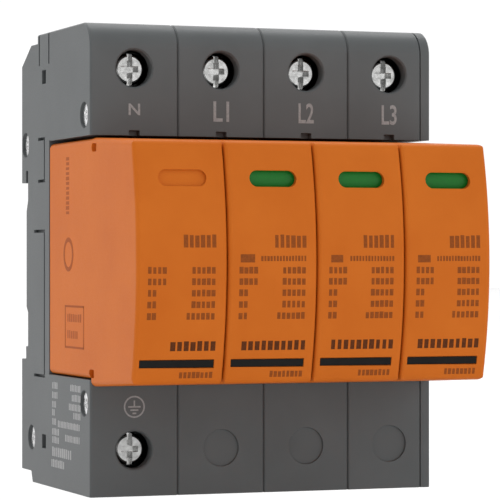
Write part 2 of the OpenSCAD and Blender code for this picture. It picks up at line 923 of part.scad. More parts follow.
module cartridge_back_1() { cartridge_back(1); }
module cartridge_back_2() { cartridge_back(2); }
module cartridge_back_3() { cartridge_back(3); }
module cartridge_back_4() { cartridge_back(4); }

// Flat blade with a bevelled tip, standing in the middle of its pole
module blade_body(x, z) {
    tip = 0.5;
    rear = cartridge_rear_y + blade_reach;
    upward(z - blade_h / 2, z + blade_h / 2)
        translate([x, 0])
            polygon([
                [-blade_t / 2, cartridge_rear_y - blade_in], [-blade_t / 2, rear - 2 * tip],
                [-blade_t / 2 + tip, rear], [blade_t / 2 - tip, rear], [blade_t / 2, rear - 2 * tip],
                [blade_t / 2, cartridge_rear_y - blade_in]
            ]);
}

module blade_upper(i) {
    color("silver")
        blade_body(pole_x(i), contact_z);
}

// The lower blade runs on into a strap along the left side of the block
module blade_lower(i) {
    x = pole_x(i);
    near = -blade_t / 2;
    side = block_x[0] - lug_t;
    bend = cartridge_rear_y - blade_in;
    color("silver") {
        blade_body(x, -contact_z);
        upward(-contact_z - strap_h / 2, -contact_z + strap_h / 2)
            translate([x, 0])
                polygon([
                    [near + 0.4, bend + 5], [near - strap_t, bend + 5], [near - strap_t, bend + 1],
                    [side - strap_t, block_y[1] + 0.8], [side - strap_t, gap_y - lug_l / 2],
                    [side, gap_y - lug_l / 2], [side, block_y[1] + 0.4], [near, bend + 0.6],
                    [near + 0.4, bend + 0.6]
                ]);
    }
}

module blade_upper_1() { blade_upper(1); }
module blade_upper_2() { blade_upper(2); }
module blade_upper_3() { blade_upper(3); }
module blade_upper_4() { blade_upper(4); }
module blade_lower_1() { blade_lower(1); }
module blade_lower_2() { blade_lower(2); }
module blade_lower_3() { blade_lower(3); }
module blade_lower_4() { blade_lower(4); }

// Strap from the upper blade along the right side of the block
module strap(i) {
    near = blade_t / 2;
    side = block_x[1] + lug_t;
    bend = cartridge_rear_y - blade_in;
    upward(contact_z - strap_h / 2, contact_z + strap_h / 2)
        translate([pole_x(i), 0])
            polygon([
                [near, bend + 5], [near + strap_t, bend + 5], [near + strap_t, bend + 1],
                [side + strap_t, block_y[1] + 0.8], [side + strap_t, gap_y - lug_l / 2],
                [side, gap_y - lug_l / 2], [side, block_y[1] + 0.4], [near, bend + 0.6]
            ]);
}

module trip_strap_2() { color("goldenrod") strap(2); }
module trip_strap_3() { color("goldenrod") strap(3); }
module trip_strap_4() { color("goldenrod") strap(4); }
module gap_strap() { color("goldenrod") strap(1); }

// Solder lugs on both sides of a block, reaching up on the right and down on the left
module lugs(x, inner_z) {
    span(
        [x + block_x[1], gap_y - lug_l / 2, inner_z],
        [x + block_x[1] + lug_t, gap_y + lug_l / 2, contact_z + strap_h / 2]
    );
    span(
        [x + block_x[0] - lug_t, gap_y - lug_l / 2, -contact_z - strap_h / 2],
        [x + block_x[0], gap_y + lug_l / 2, -inner_z]
    );
}

// Coated varistor block with its solder lugs
module varistor(i) {
    x = pole_x(i);
    color("steelblue") {
        across(x + block_x[0], x + block_x[1])
            translate([(block_y[0] + block_y[1]) / 2, 0])
                soft_rect(block_y[1] - block_y[0], block_h, block_r);
        lugs(x, contact_z - lug_l);
    }
}

module varistor_2() { varistor(2); }
module varistor_3() { varistor(3); }
module varistor_4() { varistor(4); }

// Gas gap: a round cell with an electrode lug on each face
module gas_gap() {
    x = pole_x(1);
    color("lightgray") {
        translate([x + block_x[0], gap_y, 0])
            rotate([0, 90, 0])
                cylinder(d = gap_d, h = block_x[1] - block_x[0]);
        lugs(x, -lug_l);
    }
}

// Swinging status lever: a curved face on two webs, a hub with pins and a short tail
module status_lever(i) {
    face = lever_w / 2;
    color("green")
        translate([pole_x(i), pivot_y, window_z])
            rotate([0, 90, 0]) {
                rotate([0, 0, -90 - 3 * lever_half])
                    rotate_extrude(angle = 4 * lever_half) {
                        translate([lever_r - lever_t, -face])
                            square([lever_t, lever_w]);
                        for (s = [-1, 1])
                            translate([hub_d / 4, s * (face - lever_t / 2) - lever_t / 2])
                                square([lever_r - lever_t / 2 - hub_d / 4, lever_t]);
                    }
                cylinder(d = hub_d, h = cell_w - 2 * lever_side, center = true);
                cylinder(d = pivot_d, h = cell_w + 2 * pin_reach, center = true);
                rotate([0, 0, 60])
                    translate([0, -tail_t / 2, -tail_t])
                        cube([tail_reach, tail_t, 2 * tail_t]);
            }
}

module status_lever_2() { status_lever(2); }
module status_lever_3() { status_lever(3); }
module status_lever_4() { status_lever(4); }

base_housing_1();
base_housing_2();
base_housing_3();
base_housing_4();
base_end_cover();
base_rivets();
terminal_screw_1();
terminal_screw_2();
terminal_screw_3();
terminal_screw_4();
terminal_screw_earth();
terminal_cage_1();
terminal_cage_2();
terminal_cage_3();
terminal_cage_4();
terminal_cage_earth();
line_contact_1();
line_contact_2();
line_contact_3();
line_contact_4();
earth_contact();
neutral_bar();
rail_foot_left();
rail_foot_right();
cartridge_shell_1();
cartridge_shell_2();
cartridge_shell_3();
cartridge_shell_4();
cartridge_back_1();
cartridge_back_2();
cartridge_back_3();
cartridge_back_4();
blade_upper_1();
blade_upper_2();
blade_upper_3();
blade_upper_4();
blade_lower_1();
blade_lower_2();
blade_lower_3();
blade_lower_4();
varistor_2();
varistor_3();
varistor_4();
gas_gap();
trip_strap_2();
trip_strap_3();
trip_strap_4();
gap_strap();
status_lever_2();
status_lever_3();
status_lever_4();
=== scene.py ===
import json
import math

import bmesh
import bpy
from mathutils import Matrix, Vector

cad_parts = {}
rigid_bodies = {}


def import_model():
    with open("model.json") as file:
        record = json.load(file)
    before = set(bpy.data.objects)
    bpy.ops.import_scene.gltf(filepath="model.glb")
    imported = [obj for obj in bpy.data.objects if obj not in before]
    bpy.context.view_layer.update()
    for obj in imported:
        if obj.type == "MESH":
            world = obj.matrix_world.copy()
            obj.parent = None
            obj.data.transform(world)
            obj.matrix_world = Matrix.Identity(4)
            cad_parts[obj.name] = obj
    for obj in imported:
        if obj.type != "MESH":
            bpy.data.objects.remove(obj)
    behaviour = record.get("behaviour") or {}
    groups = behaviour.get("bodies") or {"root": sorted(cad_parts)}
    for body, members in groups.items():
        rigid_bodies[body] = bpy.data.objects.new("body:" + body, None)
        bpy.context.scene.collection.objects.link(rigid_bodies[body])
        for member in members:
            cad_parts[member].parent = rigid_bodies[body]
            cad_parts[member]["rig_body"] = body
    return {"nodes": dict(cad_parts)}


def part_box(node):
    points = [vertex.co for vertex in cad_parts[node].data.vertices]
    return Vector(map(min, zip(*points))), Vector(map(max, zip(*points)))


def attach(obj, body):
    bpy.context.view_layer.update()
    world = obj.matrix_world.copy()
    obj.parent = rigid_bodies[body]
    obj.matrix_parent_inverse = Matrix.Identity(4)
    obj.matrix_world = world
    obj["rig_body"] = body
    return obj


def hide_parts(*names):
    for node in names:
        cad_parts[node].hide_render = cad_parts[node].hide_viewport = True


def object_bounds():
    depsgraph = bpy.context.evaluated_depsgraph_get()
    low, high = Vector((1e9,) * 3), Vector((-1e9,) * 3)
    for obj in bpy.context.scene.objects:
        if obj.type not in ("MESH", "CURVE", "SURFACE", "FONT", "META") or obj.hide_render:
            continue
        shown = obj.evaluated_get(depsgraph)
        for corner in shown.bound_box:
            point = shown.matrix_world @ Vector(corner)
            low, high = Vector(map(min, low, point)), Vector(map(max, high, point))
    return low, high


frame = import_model()
cadLow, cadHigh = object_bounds()
nodes = frame["nodes"]
scene = bpy.context.scene
mm = 0.001
poles = (1, 2, 3, 4)


def nodeMiddle(name):
    low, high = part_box(name)
    return (Vector(low) + Vector(high)) / 2


def poleX(i):
    # middle of a pole across the part, in millimetres
    return nodeMiddle(f"cartridge_shell_{i}").x / mm


# the bowed front that all four cartridges share, in millimetres
bow = {"radius": 84.01, "middleY": 12.51, "middleZ": -0.55}
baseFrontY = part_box("base_housing_1")[0][1] / mm
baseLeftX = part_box("base_housing_1")[0][0] / mm
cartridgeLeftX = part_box("cartridge_shell_1")[0][0] / mm


def bowY(z):
    return bow["middleY"] - math.sqrt(bow["radius"] ** 2 - (z - bow["middleZ"]) ** 2)


def shade(red, green, blue):
    # screen colour, 0 to 255, to the linear colour the shaders take
    def straight(v):
        v /= 255
        return v / 12.92 if v <= 0.04045 else ((v + 0.055) / 1.055) ** 2.4
    return (straight(red), straight(green), straight(blue), 1.0)


def startMaterial(name):
    material = bpy.data.materials.new(name)
    material.use_nodes = True
    tree = material.node_tree
    tree.nodes.clear()
    out = tree.nodes.new("ShaderNodeOutputMaterial")
    surface = tree.nodes.new("ShaderNodeBsdfPrincipled")
    tree.links.new(surface.outputs["BSDF"], out.inputs["Surface"])
    coord = tree.nodes.new("ShaderNodeTexCoord").outputs["Object"]
    return material, tree, surface, coord


def addNoise(tree, coord, grain, detail=3.0, stretch=None):
    # grain is the size of one fleck in millimetres
    if stretch:
        mapping = tree.nodes.new("ShaderNodeMapping")
        mapping.inputs["Scale"].default_value = stretch
        tree.links.new(coord, mapping.inputs["Vector"])
        coord = mapping.outputs["Vector"]
    noise = tree.nodes.new("ShaderNodeTexNoise")
    noise.inputs["Scale"].default_value = 1 / (grain * mm)
    noise.inputs["Detail"].default_value = detail
    noise.inputs["Roughness"].default_value = 0.55
    tree.links.new(coord, noise.inputs["Vector"])
    return noise.outputs["Fac"]


def addRamp(tree, value, stops, steps=False):
    ramp = tree.nodes.new("ShaderNodeValToRGB")
    ramp.color_ramp.interpolation = "CONSTANT" if steps else "LINEAR"
    ends = ramp.color_ramp.elements
    while len(ends) < len(stops):
        ends.new(0.5)
    for element, (place, colour) in zip(ends, stops):
        element.position = place
        element.color = colour
    tree.links.new(value, ramp.inputs["Fac"])
    return ramp.outputs["Color"]


noiseLow, noiseHigh = 0.3, 0.7  # most of a noise lies between these


def addRange(tree, value, low, high):
    span = tree.nodes.new("ShaderNodeMapRange")
    span.inputs["From Min"].default_value = noiseLow
    span.inputs["From Max"].default_value = noiseHigh
    span.inputs["To Min"].default_value = low
    span.inputs["To Max"].default_value = high
    tree.links.new(value, span.inputs["Value"])
    return span.outputs["Result"]


def addBump(tree, surface, value, height, strength):
    bump = tree.nodes.new("ShaderNodeBump")
    bump.inputs["Distance"].default_value = height * mm
    bump.inputs["Strength"].default_value = strength
    tree.links.new(value, bump.inputs["Height"])
    tree.links.new(bump.outputs["Normal"], surface.inputs["Normal"])


def mouldedPlastic(name, look):
    material, tree, surface, coord = startMaterial(name)
    drift = addNoise(tree, coord, look["drift"])              # slow flow of the pigment
    grain = addNoise(tree, coord, look["grain"], detail=5.0)  # spark-eroded face of the mould
    tint = addRamp(tree, drift, [(noiseLow, look["dark"]), (noiseHigh, look["light"])])
    tree.links.new(tint, surface.inputs["Base Color"])
    tree.links.new(addRange(tree, grain, *look["roughness"]), surface.inputs["Roughness"])
    surface.inputs["Specular IOR Level"].default_value = look["gloss"]
    addBump(tree, surface, grain, look["height"], look["bump"])
    return material


markDepth = 0.02  # of rolling and turning, in millimetres


def workedMetal(name, look):
    material, tree, surface, coord = startMaterial(name)
    surface.inputs["Metallic"].default_value = 1.0
    cloud = addNoise(tree, coord, look["cloud"])  # uneven plating
    # rolling and turning marks
    marks = addNoise(tree, coord, look["marks"], detail=4.0, stretch=look["stretch"])
    tint = addRamp(tree, cloud, [(noiseLow, look["dark"]), (noiseHigh, look["light"])])
    tree.links.new(tint, surface.inputs["Base Color"])
    tree.links.new(addRange(tree, marks, *look["roughness"]), surface.inputs["Roughness"])
    addBump(tree, surface, marks, markDepth, look["bump"])
    return material


inkLook = {"grain": 0.35, "thin": 0.35, "full": 0.65, "roughness": (0.5, 0.65), "gloss": 0.1}


def printedInk(name, dark, light):
    material, tree, surface, coord = startMaterial(name)
    cover = addNoise(tree, coord, inkLook["grain"], detail=4.0)  # thin ink that lets the plastic through
    tint = addRamp(tree, cover, [(inkLook["thin"], dark), (inkLook["full"], light)])
    tree.links.new(tint, surface.inputs["Base Color"])
    tree.links.new(addRange(tree, cover, *inkLook["roughness"]), surface.inputs["Roughness"])
    surface.inputs["Specular IOR Level"].default_value = inkLook["gloss"]
    return material


basePlastic = mouldedPlastic("base grey plastic", {
    "dark": shade(81, 84, 85), "light": shade(87, 90, 91), "drift": 14, "grain": 0.28,
    "roughness": (0.40, 0.50), "gloss": 0.25, "height": 0.02, "bump": 0.25})
cartridgePlastic = mouldedPlastic("cartridge orange plastic", {
    "dark": shade(193, 99, 28), "light": shade(199, 105, 32), "drift": 12, "grain": 0.25,
    "roughness": (0.40, 0.50), "gloss": 0.07, "height": 0.02, "bump": 0.20})
footPlastic = mouldedPlastic("rail foot black plastic", {
    "dark": shade(36, 36, 38), "light": shade(44, 44, 45), "drift": 8, "grain": 0.3,
    "roughness": (0.45, 0.6), "gloss": 0.35, "height": 0.02, "bump": 0.3})
backPlastic = mouldedPlastic("cartridge back plastic", {
    "dark": shade(50, 50, 52), "light": shade(58, 58, 59), "drift": 8, "grain": 0.3,
    "roughness": (0.45, 0.6), "gloss": 0.35, "height": 0.02, "bump": 0.3})
markerBlack = mouldedPlastic("marker strip black", {
    "dark": shade(14, 13, 12), "light": shade(20, 19, 17), "drift": 3, "grain": 0.2,
    "roughness": (0.45, 0.6), "gloss": 0.15, "height": 0.015, "bump": 0.3})
varistorCoat = mouldedPlastic("varistor dipped coat", {
    "dark": shade(28, 62, 118), "light": shade(38, 78, 138), "drift": 5, "grain": 1.2,
    "roughness": (0.22, 0.35), "gloss": 0.5, "height": 0.1, "bump": 0.4})
rivetMetal = workedMetal("rivet aluminium", {
    "dark": shade(222, 222, 222), "light": shade(244, 244, 245), "cloud": 1.5, "marks": 0.2,
    "stretch": (1, 1, 1), "roughness": (0.18, 0.26), "bump": 0.05})
screwZinc = workedMetal("screw zinc plating", {
    "dark": shade(140, 140, 139), "light": shade(180, 180, 179), "cloud": 1.0, "marks": 0.2,
    "stretch": (1, 0.4, 1), "roughness": (0.08, 0.18), "bump": 0.12})
cageSteel = workedMetal("cage zinc plated steel", {
    "dark": shade(150, 152, 152), "light": shade(182, 184, 184), "cloud": 2, "marks": 0.2,
    "stretch": (1, 0.2, 1), "roughness": (0.3, 0.48), "bump": 0.35})
contactCopper = workedMetal("contact bare copper", {
    "dark": shade(168, 96, 62), "light": shade(204, 128, 88), "cloud": 4, "marks": 0.2,
    "stretch": (1, 1, 0.15), "roughness": (0.25, 0.42), "bump": 0.3})
bladeTin = workedMetal("blade tin plating", {
    "dark": shade(180, 177, 170), "light": shade(210, 208, 202), "cloud": 3, "marks": 0.2,
    "stretch": (1, 0.15, 1), "roughness": (0.24, 0.4), "bump": 0.3})
strapBronze = workedMetal("strap spring bronze", {
    "dark": shade(176, 134, 72), "light": shade(206, 164, 98), "cloud": 3, "marks": 0.2,
    "stretch": (1, 0.15, 1), "roughness": (0.25, 0.4), "bump": 0.3})
gapMetal = workedMetal("gas gap steel", {
    "dark": shade(150, 150, 148), "light": shade(190, 190, 188), "cloud": 4, "marks": 0.25,
    "stretch": (0.2, 1, 1), "roughness": (0.25, 0.4), "bump": 0.3})
markInk = printedInk("terminal mark ink", shade(138, 138, 138), shade(156, 156, 156))
baseInk = printedInk("base side ink", shade(150, 150, 150), shade(168, 168, 168))
tableInk = printedInk("front table ink", shade(128, 66, 24), shade(146, 74, 26))
titleInk = printedInk("front title ink", shade(78, 40, 16), shade(98, 50, 20))
cartridgeInk = printedInk("cartridge side ink", shade(150, 72, 22), shade(164, 80, 26))


def leverPlastic(look):
    material, tree, surface, coord = startMaterial("lever green and red")
    turn = math.radians(look["swing"] / 2)
    # above this plane through the pivot the lever is red
    split = tree.nodes.new("ShaderNodeVectorMath")
    split.operation = "DOT_PRODUCT"
    split.inputs[1].default_value = (0, math.sin(turn), math.cos(turn))
    tree.links.new(coord, split.inputs[0])
    level = (look["pivotY"] * math.sin(turn) + look["pivotZ"] * math.cos(turn)) * mm
    spread = tree.nodes.new("ShaderNodeMapRange")  # half-way is on the plane
    spread.inputs["From Min"].default_value = level - look["spread"] * mm
    spread.inputs["From Max"].default_value = level + look["spread"] * mm
    tree.links.new(split.outputs["Value"], spread.inputs["Value"])
    face = addRamp(tree, spread.outputs["Result"], [(0.0, look["green"]), (0.5, look["red"])], steps=True)
    fleck = addNoise(tree, coord, look["grain"])
    blend = tree.nodes.new("ShaderNodeMix")
    blend.data_type, blend.blend_type = "RGBA", "MULTIPLY"
    blend.inputs["Factor"].default_value = look["fleck"]
    inA, inB = [s for s in blend.inputs if s.name in "AB" and s.type == "RGBA"]
    tree.links.new(face, inA)
    tree.links.new(addRamp(tree, fleck, [(noiseLow, look["dim"]), (noiseHigh, (1, 1, 1, 1))]), inB)
    mixed = next(s for s in blend.outputs if s.type == "RGBA")
    tree.links.new(mixed, surface.inputs["Base Color"])
    tree.links.new(addRange(tree, fleck, *look["roughness"]), surface.inputs["Roughness"])
    surface.inputs["Specular IOR Level"].default_value = look["gloss"]
    addBump(tree, surface, fleck, look["height"], look["bump"])
    return material


leverFace = leverPlastic({
    "swing": 26, "pivotY": -61.204, "pivotZ": 14.7, "spread": 1,
    "green": shade(14, 112, 32), "red": shade(178, 24, 20), "dim": (0.7, 0.7, 0.7, 1),
    "grain": 0.5, "fleck": 0.35, "roughness": (0.3, 0.42), "gloss": 0.2, "height": 0.02, "bump": 0.2})
print("materials ready:", len(bpy.data.materials))


def newObject(name, mesh, material=None):
    piece = bpy.data.objects.new(name, mesh)
    scene.collection.objects.link(piece)
    if material:
        mesh.materials.clear()
        mesh.materials.append(material)
    return piece


def plainMesh(piece, name):
    # the evaluated shape as a mesh of its own, with the modifiers gone
    graph = bpy.context.evaluated_depsgraph_get()
    mesh = bpy.data.meshes.new_from_object(piece.evaluated_get(graph))
    mesh.name = name
    piece.modifiers.clear()
    old = piece.data
    piece.data = mesh
    bpy.data.meshes.remove(old)


def edgeRoom(loop):
    # how far one can walk from the edge into its face before the next edge
    foot = loop.vert.co
    along = loop.link_loop_next.vert.co - foot
    span = along.length
    along = along.normalized()
    inward = loop.face.normal.cross(along)
    spots = [(along.dot(v.co - foot), inward.dot(v.co - foot)) for v in loop.face.verts]
    room = 1.0  # metres, more than any face has
    for (u0, w0), (u1, w1) in zip(spots, spots[1:] + spots[:1]):
        for share in (0.1, 0.5, 0.9):
            reach = span * share
            if (u0 - reach) * (u1 - reach) < 0:
                depth = w0 + (w1 - w0) * (reach - u0) / (u1 - u0)
                if 1e-7 < depth < room:
                    room = depth
    return room


roomNeeded = 2.4  # free depth on both faces, in widths of the broken edge


def breakEdges(piece, look):
    # sharp edges with room on both faces are broken, thin steps are left alone
    work = bmesh.new()
    work.from_mesh(piece.data)
    weight = work.edges.layers.float.new("bevel_weight_edge")
    for edge in work.edges:
        if len(edge.link_faces) == 2 and edge.calc_face_angle() > math.radians(look["angle"]):
            if min(edgeRoom(loop) for loop in edge.link_loops) > roomNeeded * look["edge"] * mm:
                edge[weight] = 1.0
    work.to_mesh(piece.data)
    work.free()
    bevel = piece.modifiers.new("broken edges", "BEVEL")
    bevel.width = look["edge"] * mm
    bevel.segments = look["segments"]
    bevel.limit_method = "WEIGHT"
    bevel.use_clamp_overlap = False
    bevel.miter_outer = "MITER_ARC"
    plainMesh(piece, piece.name)


def evenShading(piece, degrees):
    # flat faces stay flat beside the rounds
    piece.data.shade_smooth()
    piece.data.set_sharp_from_angle(angle=math.radians(degrees))
    even = piece.modifiers.new("even shading", "WEIGHTED_NORMAL")
    even.keep_sharp = True
    even.weight = 100  # the large faces rule
    plainMesh(piece, piece.name)


rimCut = {"clear": 0.01, "ahead": 0.05, "past": 1, "bends": range(6, 91, 12), "steps": 64}


def roundRim(piece, node, rim):
    # the head's rim is turned round: cut the copy with a lathed envelope, in millimetres
    low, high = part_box(node)
    x, z = (low[0] + high[0]) / 2 / mm, (low[2] + high[2]) / 2 / mm
    top, end = low[1] / mm, high[1] / mm
    outer = (high[0] - low[0]) / 2 / mm + rimCut["clear"]
    bends = [math.radians(a) for a in rimCut["bends"]]
    profile = [(0, top - rimCut["ahead"]), (outer - rim, top - rimCut["ahead"])]
    profile += [(outer - rim + rim * math.sin(a), top + rim - rim * math.cos(a)) for a in bends]
    profile += [(outer, end + rimCut["past"]), (0, end + rimCut["past"])]
    steps = rimCut["steps"]
    work = bmesh.new()
    rings = [[work.verts.new(((x + r * math.cos(k * math.tau / steps)) * mm, y * mm,
                              (z + r * math.sin(k * math.tau / steps)) * mm)) for k in range(steps)]
             for r, y in profile if r]
    ends = [work.verts.new((x * mm, y * mm, z * mm)) for r, y in profile if not r]
    for here, there in zip(rings, rings[1:]):
        for k in range(steps):
            work.faces.new((here[k - 1], here[k], there[k], there[k - 1]))
    for tip, ring in zip(ends, (rings[0], rings[-1])):
        for k in range(steps):
            work.faces.new((tip, ring[k - 1], ring[k]))
    bmesh.ops.recalc_face_normals(work, faces=work.faces)
    mesh = bpy.data.meshes.new("head envelope")
    work.to_mesh(mesh)
    work.free()
    envelope = newObject("head envelope", mesh, piece.data.materials[0])
    cut = piece.modifiers.new("round rim", "BOOLEAN")
    cut.operation, cut.solver, cut.object = "INTERSECT", "EXACT", envelope
    plainMesh(piece, piece.name)
    bpy.data.objects.remove(envelope)
    bpy.data.meshes.remove(mesh)


merging = {"weld": 0.001, "flat": 0.6}  # millimetres, degrees


def softened(node, name, look, material):
    # a merged copy of the solid whose sharp edges are broken, as a moulding's are
    work = bmesh.new()
    work.from_mesh(nodes[node].data)
    bmesh.ops.remove_doubles(work, verts=work.verts, dist=merging["weld"] * mm)
    bmesh.ops.dissolve_limit(work, angle_limit=math.radians(merging["flat"]),
                             verts=work.verts, edges=work.edges)
    work.verts.index_update()
    mesh = bpy.data.meshes.new(name)
    mesh.from_pydata([v.co[:] for v in work.verts], [], [[v.index for v in f.verts] for f in work.faces])
    work.free()
    mesh.validate()
    piece = newObject(name, mesh, material)
    if "rim" in look:
        roundRim(piece, node, look["rim"])
    breakEdges(piece, look)
    evenShading(piece, look["smooth"])
    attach(piece, nodes[node]["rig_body"])
    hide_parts(node)


def dressNode(node, material):
    for place in nodes[node].material_slots:
        place.material = material


baseLook = {"edge": 0.12, "segments": 2, "angle": 38, "smooth": 34}
for i in poles:
    softened(f"base_housing_{i}", f"baseMoulding.{i}", baseLook, basePlastic)
softened("base_end_cover", "baseEndCover", baseLook, basePlastic)
footLook = {"edge": 0.15, "segments": 2, "angle": 38, "smooth": 34}
for side in ("left", "right"):
    softened(f"rail_foot_{side}", f"railFoot.{side}", footLook, footPlastic)
print("base mouldings and rail feet softened")

shellLook = {"edge": 0.08, "segments": 2, "angle": 62, "smooth": 40}
backLook = {"edge": 0.12, "segments": 2, "angle": 38, "smooth": 32}
bladeLook = {"edge": 0.10, "segments": 2, "angle": 38, "smooth": 32}
for i in poles:
    softened(f"cartridge_shell_{i}", f"cartridgeShell.{i}", shellLook, cartridgePlastic)
    softened(f"cartridge_back_{i}", f"cartridgeBack.{i}", backLook, backPlastic)
    for end in ("upper", "lower"):
        softened(f"blade_{end}_{i}", f"plugBlade.{end}{i}", bladeLook, bladeTin)
leverLook = {"edge": 0.08, "segments": 2, "angle": 38, "smooth": 32}
for i in poles[1:]:
    softened(f"status_lever_{i}", f"statusLever.{i}", leverLook, leverFace)
print("cartridges softened")

screwLook = {"edge": 0.06, "segments": 2, "angle": 38, "smooth": 32, "rim": 0.8}
cageLook = {"edge": 0.12, "segments": 2, "angle": 38, "smooth": 32}
for i in (*poles, "earth"):
    softened(f"terminal_screw_{i}", f"terminalScrew.{i}", screwLook, screwZinc)
    softened(f"terminal_cage_{i}", f"terminalCage.{i}", cageLook, cageSteel)
rivetLook = {"edge": 0.10, "segments": 2, "angle": 38, "smooth": 32}
softened("base_rivets", "baseRivets", rivetLook, rivetMetal)
for i in poles:
    dressNode(f"line_contact_{i}", contactCopper)
dressNode("earth_contact", contactCopper)
dressNode("neutral_bar", contactCopper)
dressNode("gas_gap", gapMetal)
dressNode("gap_strap", strapBronze)
for i in poles[1:]:
    dressNode(f"varistor_{i}", varistorCoat)
    dressNode(f"trip_strap_{i}", strapBronze)
print("metal parts dressed")


def pin(sockets, name):
    return next(s for s in sockets if s.enabled and s.name == name)


def inkRowsTree():
    # every point of the host mesh starts one row of small blocks,
    # which stand on the row's line and are laid on the bowed face
    tree = bpy.data.node_groups.new("ink rows", "GeometryNodeTree")
    face = tree.interface
    face.new_socket("Rows", in_out="INPUT", socket_type="NodeSocketGeometry")
    for name in ("Bow Radius", "Bow Middle Y", "Bow Middle Z", "Depth", "Uneven Width", "Uneven Height"):
        face.new_socket(name, in_out="INPUT", socket_type="NodeSocketFloat")
    face.new_socket("Seed", in_out="INPUT", socket_type="NodeSocketInt")
    face.new_socket("Ink", in_out="INPUT", socket_type="NodeSocketMaterial")
    face.new_socket("Bold Ink", in_out="INPUT", socket_type="NodeSocketMaterial")
    face.new_socket("Print", in_out="OUTPUT", socket_type="NodeSocketGeometry")
    new, link = tree.nodes.new, tree.links.new
    given, result = new("NodeGroupInput"), new("NodeGroupOutput")

    def attribute(name, kind="FLOAT"):
        node = new("GeometryNodeInputNamedAttribute")
        node.data_type = kind
        node.inputs["Name"].default_value = name
        return node.outputs["Attribute"]

    def maths(operation, a, b=None):
        node = new("ShaderNodeMath")
        node.operation = operation
        for socket, value in zip(node.inputs, (a, b)):
            if value is None:
                continue
            if isinstance(value, (int, float)):
                socket.default_value = value
            else:
                link(value, socket)
        return node.outputs["Value"]

    def chance(seedShift):
        node = new("FunctionNodeRandomValue")
        node.data_type = "FLOAT"
        link(maths("ADD", given.outputs["Seed"], seedShift), pin(node.inputs, "Seed"))
        return node

    toPoints = new("GeometryNodeMeshToPoints")
    link(given.outputs["Rows"], toPoints.inputs["Mesh"])
    repeat = new("GeometryNodeDuplicateElements")
    repeat.domain = "POINT"
    link(toPoints.outputs["Points"], repeat.inputs["Geometry"])
    link(attribute("letters", "INT"), repeat.inputs["Amount"])
    step = new("ShaderNodeCombineXYZ")
    link(maths("MULTIPLY", repeat.outputs["Duplicate Index"], attribute("pitch")), step.inputs["X"])
    along = new("GeometryNodeSetPosition")
    link(repeat.outputs["Geometry"], along.inputs["Geometry"])
    link(step.outputs["Vector"], along.inputs["Offset"])

    block = new("GeometryNodeMeshCube")
    block.inputs["Size"].default_value = (1, 1, 1)
    stand = new("GeometryNodeTransform")
    stand.inputs["Translation"].default_value = (0, 0, 0.5)
    link(block.outputs["Mesh"], stand.inputs["Geometry"])
    size = new("ShaderNodeCombineXYZ")
    for node, name, uneven, axis in ((chance(11), "wide", "Uneven Width", "X"),
                                     (chance(23), "tall", "Uneven Height", "Z")):
        link(maths("SUBTRACT", 1.0, given.outputs[uneven]), pin(node.inputs, "Min"))
        pin(node.inputs, "Max").default_value = 1.0
        link(maths("MULTIPLY", attribute(name), pin(node.outputs, "Value")), size.inputs[axis])
    link(given.outputs["Depth"], size.inputs["Y"])
    lettered = new("GeometryNodeInstanceOnPoints")
    link(along.outputs["Geometry"], lettered.inputs["Points"])
    link(stand.outputs["Geometry"], lettered.inputs["Instance"])
    link(size.outputs["Vector"], lettered.inputs["Scale"])
    real = new("GeometryNodeRealizeInstances")
    link(lettered.outputs["Instances"], real.inputs["Geometry"])

    # y of the bowed face at each block's height
    here = new("GeometryNodeInputPosition")
    axes = new("ShaderNodeSeparateXYZ")
    link(here.outputs["Position"], axes.inputs["Vector"])
    rise = maths("SUBTRACT", axes.outputs["Z"], given.outputs["Bow Middle Z"])
    reach = maths("SQRT", maths("SUBTRACT", maths("POWER", given.outputs["Bow Radius"], 2.0),
                                maths("POWER", rise, 2.0)))
    shift = new("ShaderNodeCombineXYZ")
    link(maths("SUBTRACT", given.outputs["Bow Middle Y"], reach), shift.inputs["Y"])
    lay = new("GeometryNodeSetPosition")
    link(real.outputs["Geometry"], lay.inputs["Geometry"])
    link(shift.outputs["Vector"], lay.inputs["Offset"])
    thin, bold = new("GeometryNodeSetMaterial"), new("GeometryNodeSetMaterial")
    link(lay.outputs["Geometry"], thin.inputs["Geometry"])
    link(given.outputs["Ink"], thin.inputs["Material"])
    link(thin.outputs["Geometry"], bold.inputs["Geometry"])
    link(given.outputs["Bold Ink"], bold.inputs["Material"])
    link(attribute("bold", "BOOLEAN"), bold.inputs["Selection"])
    link(bold.outputs["Geometry"], result.inputs["Print"])
    return tree


inkRows = inkRowsTree()


def printRows(name, rows, look, inks, body, turn=None):
    # rows hold x, z, letters, pitch, wide, tall, bold in millimetres
    mesh = bpy.data.meshes.new(name)
    mesh.from_pydata([(r["x"] * mm, 0, r["z"] * mm) for r in rows], [], [])
    for key, kind, scale in (("letters", "INT", 1), ("pitch", "FLOAT", mm), ("wide", "FLOAT", mm),
                             ("tall", "FLOAT", mm), ("bold", "BOOLEAN", 1)):
        layer = mesh.attributes.new(key, kind, "POINT")
        for item, r in zip(layer.data, rows):
            item.value = r[key] * scale if kind == "FLOAT" else r[key]
    piece = newObject(name, mesh)
    modifier = piece.modifiers.new("ink rows", "NODES")
    modifier.node_group = inkRows
    values = {"Bow Radius": look["radius"] * mm, "Bow Middle Y": (look["middleY"] + look["sunk"]) * mm,
              "Bow Middle Z": look["middleZ"] * mm, "Depth": look["depth"] * mm,
              "Uneven Width": look["uneven"][0], "Uneven Height": look["uneven"][1],
              "Seed": look["seed"], "Ink": inks[0], "Bold Ink": inks[1]}
    for item in inkRows.interface.items_tree:
        if item.in_out == "INPUT" and item.name in values:
            modifier[item.identifier] = values[item.name]
    plainMesh(piece, name)
    if turn:
        piece.data.transform(turn)
    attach(piece, body)


